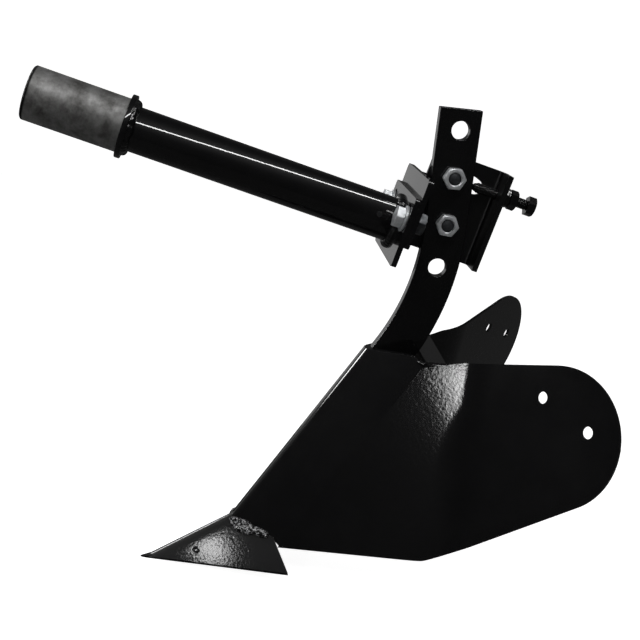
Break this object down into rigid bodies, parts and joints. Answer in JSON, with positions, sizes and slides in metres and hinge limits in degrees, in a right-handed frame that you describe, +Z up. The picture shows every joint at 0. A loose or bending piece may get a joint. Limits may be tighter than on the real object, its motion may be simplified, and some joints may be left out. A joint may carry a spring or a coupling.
{
  "type": "tiller plough",
  "caption": "Ridging plough for a walking tiller: spigot draw tube, clamped hitch bracket with a set screw, flat-bar shank, pointed share and two mouldboard wings.",
  "frame": {"origin": "Middle of the bounding box in X and Y, on the level of the share's point, which is the lowest point", "axes": "+Z up; +X to the rear, so the plough travels towards -X; +Y to the left of the direction of travel, which is the far side in the picture"},
  "size_m": [0.5144, 0.3824, 0.4854],
  "materials": {
    "enamel": "gloss black enamel on steel, with light orange peel",
    "enamel_weld": "gloss black enamel over weld beads and the welded nut",
    "zinc": "zinc-plated steel fasteners",
    "bare_steel": "bare turned steel, oiled"
  },
  "bodies": {
    "tube": {"draw_tube": "enamel", "spigot_sleeve": "bare_steel", "stop_collar": "enamel", "collar_weld": "enamel_weld", "flange_weld": "enamel_weld", "tube_flange": "enamel"},
    "bracket": {"front_plate": "enamel", "side_plate": "enamel", "bracket_weld": "enamel_weld", "flange_bolts": "zinc", "flange_washers": "zinc", "flange_nuts": "zinc", "screw_weld_nut": "enamel_weld", "screw_lock_nut": "enamel", "pivot_bolt": "zinc", "pivot_washer": "zinc", "pivot_nut": "zinc"},
    "plough": {"shank": "enamel", "nose_plate": "enamel", "wing_brace": "enamel", "nose_weld": "enamel_weld", "share_right": "enamel", "share_left": "enamel", "wing_right": "enamel", "wing_left": "enamel", "tilt_bolt": "zinc", "tilt_washer": "zinc", "tilt_nut": "zinc"},
    "screw": {"adjusting_screw": "enamel"}
  },
  "joints": [
    {"name": "roll", "type": "hinge", "parent": "tube", "child": "bracket", "pos_m": [0.09104, 0, 0.33885], "axis": [0.9403, 0, -0.3404], "range_deg": [-8, 8]},
    {"name": "tilt", "type": "hinge", "parent": "bracket", "child": "plough", "pos_m": [0.13497, 0, 0.33741], "axis": [0, 1, 0], "range_deg": [-4, 22]},
    {"name": "screw_travel", "type": "slide", "parent": "bracket", "child": "screw", "axis": [0.9403, 0, -0.3404], "range_m": [-0.003, 0.0159]}
  ],
  "couplings": [
    {"joint": "screw_travel", "follows": "tilt", "m_per_rad": 0.0407}
  ]
}
